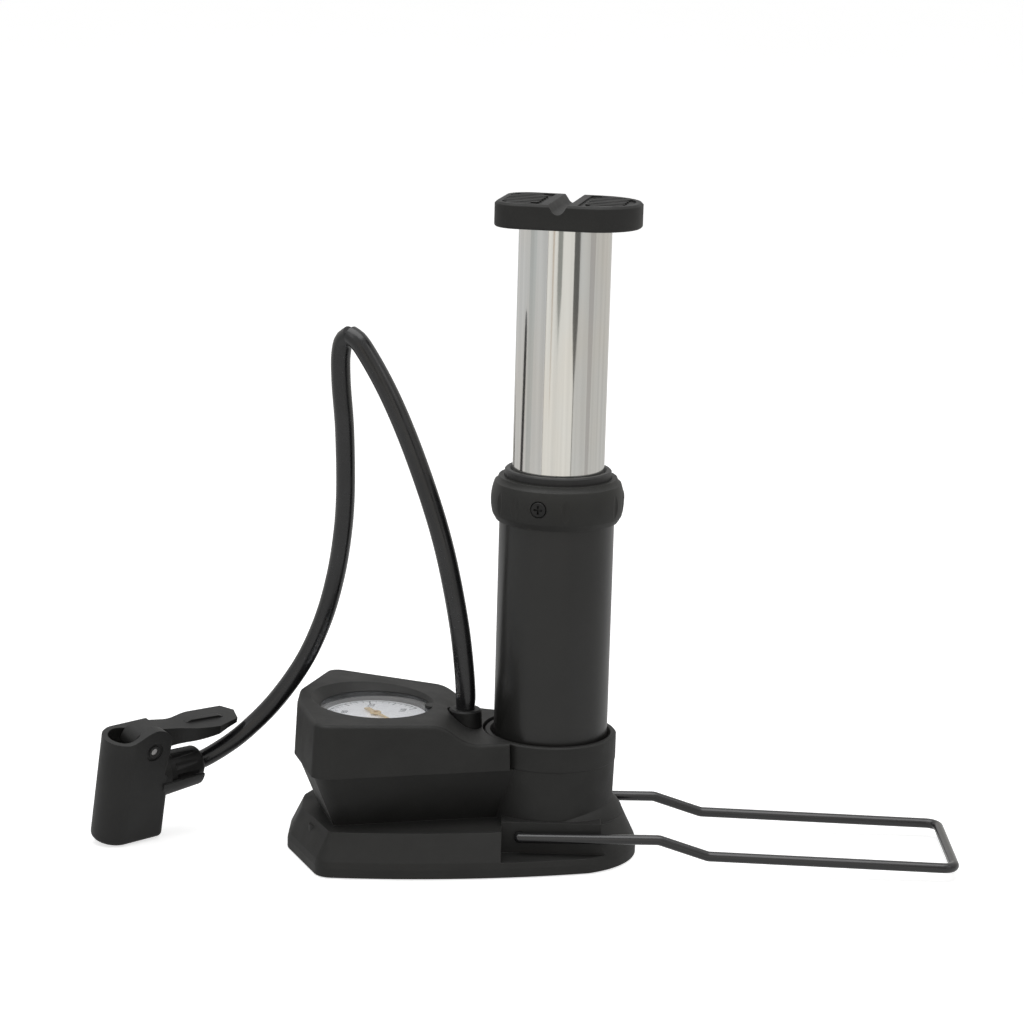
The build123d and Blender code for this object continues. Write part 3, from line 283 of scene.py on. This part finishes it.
def clear_lens(name):
    """Clear moulded lens: see-through, mirrors a little at a glance, with a dusty film."""
    t = Tree(name)
    clear = t.nodes.new("ShaderNodeBsdfTransparent")
    gloss = t.nodes.new("ShaderNodeBsdfGlossy")
    film = t.nodes.new("ShaderNodeBsdfDiffuse")
    film.inputs["Color"].default_value = (0.75, 0.78, 0.82, 1)
    t.put(t.remap(t.noise(300, 4), 0.3, 0.7, 0.02, 0.09), gloss.inputs["Roughness"])
    t.put(t.bump(t.noise(30, 2), 0.05, 0.2 * MM), gloss.inputs["Normal"])
    fresnel = t.nodes.new("ShaderNodeFresnel")
    fresnel.inputs["IOR"].default_value = 1.46
    shine = t.nodes.new("ShaderNodeMixShader")
    back = t.nodes.new("ShaderNodeNewGeometry").outputs["Backfacing"]
    t.put(t.math("MULTIPLY", fresnel.outputs[0], t.math("SUBTRACT", 1.0, back)), shine.inputs[0])
    t.links.new(clear.outputs[0], shine.inputs[1])
    t.links.new(gloss.outputs[0], shine.inputs[2])
    dust = t.nodes.new("ShaderNodeMixShader")
    t.put(t.remap(t.noise(120, 5), 0.4, 0.75, 0.02, 0.10), dust.inputs[0])
    t.links.new(shine.outputs[0], dust.inputs[1])
    t.links.new(film.outputs[0], dust.inputs[2])
    t.links.new(dust.outputs[0], t.output.inputs["Surface"])
    t.nodes.remove(t.bsdf)
    return t.material


BASE_BLACK = (0.021, 0.021, 0.020)
finishes = {
    "base_plastic": plastic("base_plastic_look", BASE_BLACK, 0.56),
    "barrel": paint("barrel_look", (0.016, 0.016, 0.015), 0.34, coat=0.12, scale=1400),
    "collar_plastic": plastic("collar_look", (0.026, 0.026, 0.024), 0.5),
    "pedal": plastic("pedal_look", (0.024, 0.024, 0.023), 0.55, grain=2000, depth=0.5),
    "chuck_plastic": plastic("chuck_look", (0.019, 0.019, 0.0185), 0.46, grain=3000, depth=0.22),
    "boot_plastic": rubber("boot_look", (0.016, 0.016, 0.016), 0.5),
    "dark_steel": metal("blackened_steel_look", (0.035, 0.035, 0.035), 0.42, metallic=0.7),
    "steel": metal("steel_look", (0.62, 0.61, 0.60), 0.28),
    "aluminium": metal("drawn_aluminium_look", (0.78, 0.78, 0.79), 0.24, (1, 1, 0.04)),
    "brass": metal("brass_look", (0.72, 0.50, 0.22), 0.27),
    "chrome": chrome("chrome_look"),
    "bail": paint("bail_look", (0.018, 0.018, 0.019), 0.22, coat=0.6, scale=600),
    "case_paint": paint("case_look", (0.03, 0.03, 0.03), 0.4),
    "dial": dial_face("dial_look"),
    "needle": paint("needle_look", (0.80, 0.58, 0.27), 0.42, edge_highlight_gain=1.1),
    "lens": clear_lens("lens_look"),
    "acetal_white": plastic("natural_acetal_look", (0.62, 0.61, 0.56), 0.4, edge_highlight_gain=1.1),
    "acetal_dark": plastic("dark_acetal_look", (0.035, 0.035, 0.035), 0.42),
    "inner_plastic": plastic("inner_nylon_look", (0.05, 0.05, 0.05), 0.5),
    "sole_rubber": rubber("sole_look", (0.012, 0.012, 0.012), 0.8),
    "seal_rubber": rubber("seal_look", (0.012, 0.012, 0.012), 0.45),
    "hose": hose_skin("hose_look"),
}
LOOK_OF = {
    "base_plastic": ("base_housing", "gauge_cover"),
    "inner_plastic": ("valve_block", "valve_plug", "air_manifold"),
    "sole_rubber": ("rubber_sole",),
    "seal_rubber": ("cylinder_gasket", "piston_seal", "valve_gland"),
    "barrel": ("barrel_tube",),
    "collar_plastic": ("guide_collar",),
    "acetal_dark": ("guide_bush", "lower_guide_ring", "top_plug"),
    "acetal_white": ("piston_head", "gland_plunger"),
    "dark_steel": ("bottom_plate", "plate_screws", "cover_screws", "collar_screws"),
    "steel": ("check_ball", "check_spring", "lever_pin"),
    "aluminium": ("pump_cylinder", "piston_rod"),
    "brass": (
        "gauge_stem", "hose_barb", "bourdon_tube", "gauge_socket", "gauge_arbor", "pedal_insert",
        "piston_nut", "chuck_barb",
    ),
    "case_paint": ("gauge_case",),
    "dial": ("gauge_dial",),
    "needle": ("gauge_needle",),
    "lens": ("gauge_lens",),
    "chrome": ("plunger_tube",),
    "pedal": ("foot_pedal",),
    "bail": ("foot_bail",),
    "chuck_plastic": ("chuck_body", "chuck_lever", "gland_cap", "hose_nut"),
    "boot_plastic": ("hose_boot",),
}


def finish_with(obj, look):
    obj.data.materials.clear()
    obj.data.materials.append(finishes[look])


cad_nodes = {obj.name: obj for obj in bpy.data.objects if obj.name in frame["nodes"]}
for look, names in LOOK_OF.items():
    for name in names:
        finish_with(cad_nodes[name], look)


# ---- built pieces ------------------------------------------------------------------------
def new_piece(name, verts, faces, look, smooth=True):
    mesh = bpy.data.meshes.new(name)
    mesh.from_pydata([tuple(v) for v in verts], [], faces)
    mesh.validate()
    mesh.update()
    for polygon in mesh.polygons:
        polygon.use_smooth = smooth
    obj = bpy.data.objects.new(name, mesh)
    bpy.context.scene.collection.objects.link(obj)
    finish_with(obj, look)
    return obj


def tube(name, points, radii, look, sides):
    """A round tube along points, without twist and with closed ends."""
    verts, faces = [], []
    along = (points[1] - points[0]).normalized()
    across = along.orthogonal().normalized()
    count = len(points)
    for i, point in enumerate(points):
        step = (points[min(i + 1, count - 1)] - points[max(i - 1, 0)]).normalized()
        across = (across - step * across.dot(step)).normalized()
        up = step.cross(across)
        for k in range(sides):
            turn = 2 * pi * k / sides
            verts.append(point + (across * cos(turn) + up * sin(turn)) * radii[i])
    for i in range(count - 1):
        for k in range(sides):
            a, b = i * sides + k, i * sides + (k + 1) % sides
            faces.append((a, b, b + sides, a + sides))
    faces.append(tuple(reversed(range(sides))))
    faces.append(tuple(range((count - 1) * sides, count * sides)))
    return new_piece(name, verts, faces, look)


def smooth_line(knots, spacing):
    """Points spaced evenly along a Catmull-Rom line through the knots."""
    fine = []
    knots = [knots[0] * 2 - knots[1]] + knots + [knots[-1] * 2 - knots[-2]]
    for a, b, c, d in zip(knots, knots[1:], knots[2:], knots[3:]):
        ta = 0.0
        tb = ta + (b - a).length ** 0.5
        tc = tb + (c - b).length ** 0.5
        td = tc + (d - c).length ** 0.5
        for i in range(24):
            t = tb + (tc - tb) * i / 24
            ab = a * ((tb - t) / (tb - ta)) + b * ((t - ta) / (tb - ta))
            bc = b * ((tc - t) / (tc - tb)) + c * ((t - tb) / (tc - tb))
            cd = c * ((td - t) / (td - tc)) + d * ((t - tc) / (td - tc))
            abc = ab * ((tc - t) / (tc - ta)) + bc * ((t - ta) / (tc - ta))
            bcd = bc * ((td - t) / (td - tb)) + cd * ((t - tb) / (td - tb))
            fine.append(abc * ((tc - t) / (tc - tb)) + bcd * ((t - tb) / (tc - tb)))
    fine.append(knots[-2])
    out, gone = [fine[0]], 0.0
    for a, b in zip(fine, fine[1:]):
        step = (b - a).length
        while step > 0 and gone + step >= spacing:
            a = a + (b - a) * ((spacing - gone) / step)
            step = (b - a).length
            gone = 0.0
            out.append(a)
        gone += step
    if (out[-1] - fine[-1]).length > spacing * 0.3:
        out.append(fine[-1])
    else:
        out[-1] = fine[-1]
    return out


def mm(*xyz):
    return Vector(xyz) * MM


# The hose is one flexible tube. It is cut at its crown into two halves.
boot_low, boot_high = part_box("hose_boot")
boot_centre = (boot_low + boot_high) / 2
CHUCK_ARM = Vector((0.749, 0.659, 0.077)).normalized()
HOSE_BEND = mm(-130.69, 14.59, 26.24)
CROWN = mm(-76.6, 6.0, 190.6)
rise = [mm(boot_centre.x / MM, 0, z) for z in (39.2, 46, 53.5, 58)]
rise += [mm(-32.4, 0.0, 68), mm(-35.0, 0.1, 86.8), mm(-41.7, 0.5, 116.7), mm(-51.7, 1.1, 146.1)]
rise += [mm(-61.1, 1.6, 168.0), mm(-69.0, 2.5, 182.3), mm(-73.8, 3.9, 189.0), CROWN]
fall = [CROWN, mm(-79.1, 8.0, 188.3), mm(-80.2, 9.3, 183.1), mm(-80.1, 10.4, 173.3)]
fall += [mm(-78.6, 12.0, 154.5), mm(-78.1, 14.6, 127.8), mm(-79.2, 16.2, 112.4)]
fall += [mm(-81.7, 18.0, 96.6), mm(-85.9, 19.6, 80.8), mm(-92.8, 20.8, 64.5)]
fall += [mm(-103.4, 21.2, 48.4), mm(-113.0, 20.5, 38.0), mm(-120.4, 18.9, 31.9), HOSE_BEND]
fall += [HOSE_BEND - CHUCK_ARM * 6.0 * MM, HOSE_BEND - CHUCK_ARM * 16.5 * MM]
BOOT_GRIP = 3.45 * MM     # radii of the hose in the boot, above it, at its crown and at the chuck
HOSE_THICK = 3.72 * MM
HOSE_CROWN = 3.60 * MM
HOSE_THIN = 3.32 * MM
HOSE_SIDES = 28
COIL_SIDES = 12


def mark_ends_sharp(obj, sides):
    """Keeps the cut ends flat, so that the skin beside them shades as one smooth tube."""
    last = len(obj.data.vertices) - sides
    for edge in obj.data.edges:
        if all(v < sides for v in edge.vertices) or all(v >= last for v in edge.vertices):
            edge.use_edge_sharp = True
    for polygon in obj.data.polygons:
        polygon.use_smooth = len(polygon.vertices) == 4


def hose_part(name, knots, radius_at):
    line = smooth_line(knots, 1.6 * MM)
    radii = [radius_at(i / (len(line) - 1), point) for i, point in enumerate(line)]
    obj = tube(name, line, radii, "hose", HOSE_SIDES)
    mark_ends_sharp(obj, HOSE_SIDES)
    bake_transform(obj)
    return obj


def rising_radius(share, point):
    """Gripped by the boot, then full width, thinning a little towards the crown."""
    if point.z < boot_high.z:
        return BOOT_GRIP
    free = min(1.0, (point.z - boot_high.z) / (4 * MM))
    return BOOT_GRIP + (HOSE_THICK - BOOT_GRIP) * free - (HOSE_THICK - HOSE_CROWN) * share


def falling_radius(share, _):
    return HOSE_CROWN + (HOSE_THIN - HOSE_CROWN) * share


hose_upper = hose_part(
    "hose_upper", rise, rising_radius
)
hose_lower = hose_part(
    "hose_lower", fall, falling_radius,
)
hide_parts("hose_root", "hose_loop")
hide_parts("hose_end")


def coil(name, node, turns, wire, ends):
    """A wire spring in the node's space, closer wound at both ends."""
    low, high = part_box(node)
    centre = (low + high) / 2
    radius = (high.x - low.x) / 2 - wire
    bottom, top = low.z + wire, high.z - wire
    points = []
    count = int(turns * 24)
    for i in range(count + 1):
        share = i / count
        turn = 2 * pi * turns * share
        height = share - ends * sin(2 * pi * share) / (2 * pi)
        points.append(Vector((centre.x + radius * cos(turn), centre.y + radius * sin(turn),
                              bottom + (top - bottom) * height)))
    obj = tube(name, points, [wire] * len(points), "steel", COIL_SIDES)
    mark_ends_sharp(obj, COIL_SIDES)
    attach(obj, "base")
    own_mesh(obj)
    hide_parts(node)


coil("return_spring_coil", "return_spring", 22, 1.0 * MM, 0.5)
coil("check_spring_coil", "check_spring", 4.5, 0.25 * MM, 0.4)

# Printed scale on the dial: fine ticks over the needle's sweep, and plain numbers.
dial_low, dial_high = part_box("gauge_dial")
dial_centre = (dial_low + dial_high) / 2
ZERO_ANGLE = radians(-57)
SWEEP = radians(270)
PRINT_Z = dial_high.z + 0.02 * MM
PRINT_THICK = 0.04 * MM
TICK_OUTER = 17.6 * MM
finishes["print"] = paint("dial_print_look", (0.16, 0.17, 0.19), 0.6, coat=0.0, edge_highlight_gain=1.0)


def dial_point(radius, angle, across=0.0, lift=0.0):
    out = Vector((cos(angle), sin(angle), 0))
    side = Vector((-sin(angle), cos(angle), 0))
    return Vector((dial_centre.x, dial_centre.y, PRINT_Z + lift)) + out * radius + side * across


verts, faces = [], []


def add_bar(corners):
    start = len(verts)
    count = len(corners)
    verts.extend(corners)
    verts.extend(c + Vector((0, 0, PRINT_THICK)) for c in corners)
    faces.append(tuple(range(start + count - 1, start - 1, -1)))
    faces.append(tuple(range(start + count, start + 2 * count)))
    for k in range(count):
        after = (k + 1) % count
        faces.append((start + k, start + after, start + count + after, start + count + k))


TICKS = 32
TICK_WORTH = 5
for i in range(TICKS + 1):
    angle = ZERO_ANGLE - SWEEP * i / TICKS
    major = i % 4 == 0
    inner, width = (14.6 * MM, 0.22 * MM) if major else (16.0 * MM, 0.11 * MM)
    add_bar([dial_point(inner, angle, -width), dial_point(TICK_OUTER, angle, -width),
             dial_point(TICK_OUTER, angle, width), dial_point(inner, angle, width)])
ARC_STEPS = 90
arc = []
for i in range(ARC_STEPS + 1):
    angle = ZERO_ANGLE - SWEEP * i / ARC_STEPS
    arc.append((dial_point(TICK_OUTER, angle), dial_point(17.9 * MM, angle)))
for (a, b), (c, d) in zip(arc, arc[1:]):
    add_bar([a, b, d, c])
dial_scale = new_piece("dial_scale", verts, faces, "print", smooth=False)
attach(dial_scale, "base")

UPRIGHT = ZERO_ANGLE + radians(45) + pi
for i in range(0, TICKS + 1, 8):
    angle = ZERO_ANGLE - SWEEP * i / TICKS
    name = f"dial_number_{i * TICK_WORTH}"
    curve = bpy.data.curves.new(name, "FONT")
    curve.body = str(i * TICK_WORTH)
    curve.size = 3.4 * MM
    curve.extrude = PRINT_THICK / 2
    curve.align_x = "CENTER"
    curve.align_y = "CENTER"
    number = bpy.data.objects.new(name, curve)
    bpy.context.scene.collection.objects.link(number)
    number.location = dial_point(11.8 * MM, angle, 0, PRINT_THICK / 2)
    number.rotation_euler = (0, 0, UPRIGHT - pi / 2)
    finish_with(number, "print")
    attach(number, "base")

# ---- studio ------------------------------------------------------------------------------
def plain(name, colour, strength):
    """Glow of a card, a little cloudy so that its mirror image isn't dead flat."""
    t = Tree(name)
    glow = t.nodes.new("ShaderNodeEmission")
    glow.inputs["Color"].default_value = (*colour, 1)
    cloud = t.noise(7, 3, (1, 1, 0.4))
    t.put(t.remap(cloud, 0.3, 0.7, strength * 0.9, strength * 1.1), glow.inputs["Strength"])
    t.links.new(glow.outputs[0], t.output.inputs["Surface"])
    t.nodes.remove(t.bsdf)
    return t.material


def floor_finish():
    """Pale paper floor. It looks and mirrors bright, but throws little light upwards."""
    t = Tree("floor_look")
    ray = t.nodes.new("ShaderNodeLightPath")
    paper = t.blend(t.noise(3, 2), (0.80, 0.80, 0.795), (0.84, 0.84, 0.835))
    t.put(t.blend(ray.outputs["Is Camera Ray"], (0.38, 0.38, 0.375), paper),
          t.bsdf.inputs["Base Color"])
    t.put(t.remap(t.noise(40, 2), 0.3, 0.7, 0.8, 0.9), t.bsdf.inputs["Roughness"])
    t.bsdf.inputs["Specular IOR Level"].default_value = 0.1
    seen = t.math("MULTIPLY", ray.outputs["Is Camera Ray"], FLOOR_GLOW_SEEN)
    mirrored = t.math("MULTIPLY", ray.outputs["Is Glossy Ray"], FLOOR_GLOW_MIRRORED)
    t.put(t.math("ADD", seen, mirrored), t.bsdf.inputs["Emission Strength"])
    t.bsdf.inputs["Emission Color"].default_value = (1, 1, 1, 1)
    return t.material


FLOOR_GLOW_SEEN = 0.70
FLOOR_GLOW_MIRRORED = 0.34


def sheet(name, corners, quads, material):
    mesh = bpy.data.meshes.new(name)
    mesh.from_pydata(corners, [], quads)
    mesh.materials.append(material)
    obj = bpy.data.objects.new(name, mesh)
    bpy.context.scene.collection.objects.link(obj)
    return obj


REACH = 40
floor_corners = [(-REACH, -REACH, 0), (REACH, -REACH, 0), (REACH, REACH, 0), (-REACH, REACH, 0)]
sheet("floor", floor_corners, [(0, 1, 2, 3)], floor_finish())

# Cards stand round the pump for the chrome to mirror. Each spans a range of headings round the
# tube, with its own width in degrees at foot and head, so that some taper to a point.
CARDS = (
    # heading, foot z, head z, width at foot, width at head, distance, tone, colour
    (-112, 0.0, 0.40, 134, 134, 0.66, 0.56, (1.0, 0.99, 0.97)),
    (-6.5, 0.0, 0.40, 73, 73, 0.66, 0.77, (1.0, 0.97, 0.91)),
    (104, 0.0, 0.40, 148, 148, 0.66, 0.56, (1.0, 0.985, 0.95)),
    (-84, 0.0, 0.40, 14, 34, 0.62, 0.46, (0.98, 1.0, 0.98)),
    (-150, 0.0, 0.080, 15, 0.5, 0.58, 0.10, (1.0, 0.92, 0.84)),
    (-28, 0.065, 0.30, 0.5, 9, 0.58, 0.52, (1.0, 0.82, 0.66)),
    (-11.5, 0.110, 0.130, 0.5, 11, 0.56, 0.26, (1.0, 1.0, 0.92)),
    (29.5, 0.0, 0.085, 1.6, 2.5, 0.56, 0.30, (1.0, 0.97, 0.90)),
    (29.5, 0.085, 0.118, 2.5, 14, 0.56, 0.12, (1.0, 0.98, 0.92)),
    (-11.5, 0.130, 0.30, 11, 14, 0.56, 0.28, (1.0, 1.0, 0.92)),
    (29.5, 0.118, 0.30, 14, 16, 0.56, 0.11, (1.0, 0.98, 0.92)),
    (-43, 0.0, 0.40, 1.2, 1.2, 0.60, 0.38, (1.0, 0.95, 0.88)),
    (72, 0.0, 0.30, 10, 22, 0.60, 0.42, (1.0, 0.97, 0.94)),
)
CARD_STRIPS = 12
for number, card in enumerate(CARDS):
    heading, foot, head, foot_width, head_width, distance, tone, colour = card
    corners, quads = [], []
    for i in range(CARD_STRIPS + 1):
        for height, width in ((foot, foot_width), (head, head_width)):
            turn = radians(heading + width * (i / CARD_STRIPS - 0.5))
            corners.append((distance * sin(turn), -distance * cos(turn), height))
    for i in range(CARD_STRIPS):
        quads.append((2 * i, 2 * i + 2, 2 * i + 3, 2 * i + 1))
    panel = sheet(f"card_{number}", corners, quads, plain(f"card_look_{number}", colour, tone))
    panel.visible_camera = False
    panel.visible_diffuse = False
    panel.visible_shadow = False
    panel.visible_transmission = False


def area_light(name, place, aim, size, power, colour=(1, 1, 1)):
    lamp = bpy.data.lights.new(name, "AREA")
    lamp.shape = "RECTANGLE"
    lamp.size, lamp.size_y = size
    lamp.energy = power
    lamp.color = colour
    obj = bpy.data.objects.new(name, lamp)
    bpy.context.scene.collection.objects.link(obj)
    obj.location = place
    obj.rotation_euler = (Vector(aim) - Vector(place)).to_track_quat("-Z", "Y").to_euler()
    obj.visible_camera = False


area_light("top_box", (-0.1, -0.15, 1.6), (-0.02, 0, 0.1), (1.6, 1.4), 13)
area_light("left_box", (-1.3, -0.9, 0.9), (-0.05, 0, 0.12), (0.5, 1.3), 1.4)
area_light("right_box", (1.4, -0.8, 0.8), (0, 0, 0.12), (0.6, 1.3), 2.0, (1, 0.985, 0.96))

world = bpy.data.worlds.new("studio")
bpy.context.scene.world = world
world.use_nodes = True
sky = world.node_tree
place = sky.nodes.new("ShaderNodeTexCoord")
axes = sky.nodes.new("ShaderNodeSeparateXYZ")
ramp = sky.nodes.new("ShaderNodeMapRange")
ramp.inputs["From Min"].default_value = -0.1
ramp.inputs["From Max"].default_value = 0.9
ramp.inputs["To Min"].default_value = 0.12
ramp.inputs["To Max"].default_value = 0.42
sky.links.new(place.outputs["Generated"], axes.inputs[0])
sky.links.new(axes.outputs["Z"], ramp.inputs["Value"])
# shiny surfaces mirror a bright backdrop, which lights the rest only weakly
path = sky.nodes.new("ShaderNodeLightPath")
choose = sky.nodes.new("ShaderNodeMix")
choose.data_type = "FLOAT"
sky.links.new(path.outputs["Is Glossy Ray"], choose.inputs["Factor"])
sky.links.new(ramp.outputs[0], choose.inputs["A"])
choose.inputs["B"].default_value = 0.62
sky.links.new(choose.outputs["Result"], sky.nodes["Background"].inputs["Strength"])
sky.nodes["Background"].inputs["Color"].default_value = (1, 1, 1, 1)

# ---- camera ------------------------------------------------------------------------------
CAMERA_PLACE = Vector((-0.0164, -1.1048, 0.3689))
PITCH = radians(12.3)
ROLL = radians(1.59)
ahead = Vector((0, cos(PITCH), -sin(PITCH)))
level_up = Vector((0, sin(PITCH), cos(PITCH)))
right = Vector((1, 0, 0)) * cos(ROLL) + level_up * sin(ROLL)
up = Vector((1, 0, 0)) * -sin(ROLL) + level_up * cos(ROLL)
FOCAL_LENGTH = 108.98
lens = bpy.data.cameras.new("camera")
lens.lens = FOCAL_LENGTH
lens.sensor_width = 36
lens.clip_start = 0.01
camera = bpy.data.objects.new("camera", lens)
bpy.context.scene.collection.objects.link(camera)
camera.matrix_world = Matrix((
    (right.x, up.x, -ahead.x, CAMERA_PLACE.x),
    (right.y, up.y, -ahead.y, CAMERA_PLACE.y),
    (right.z, up.z, -ahead.z, CAMERA_PLACE.z),
    (0, 0, 0, 1),
))
bpy.context.scene.camera = camera
bpy.context.scene.view_settings.view_transform = "Standard"
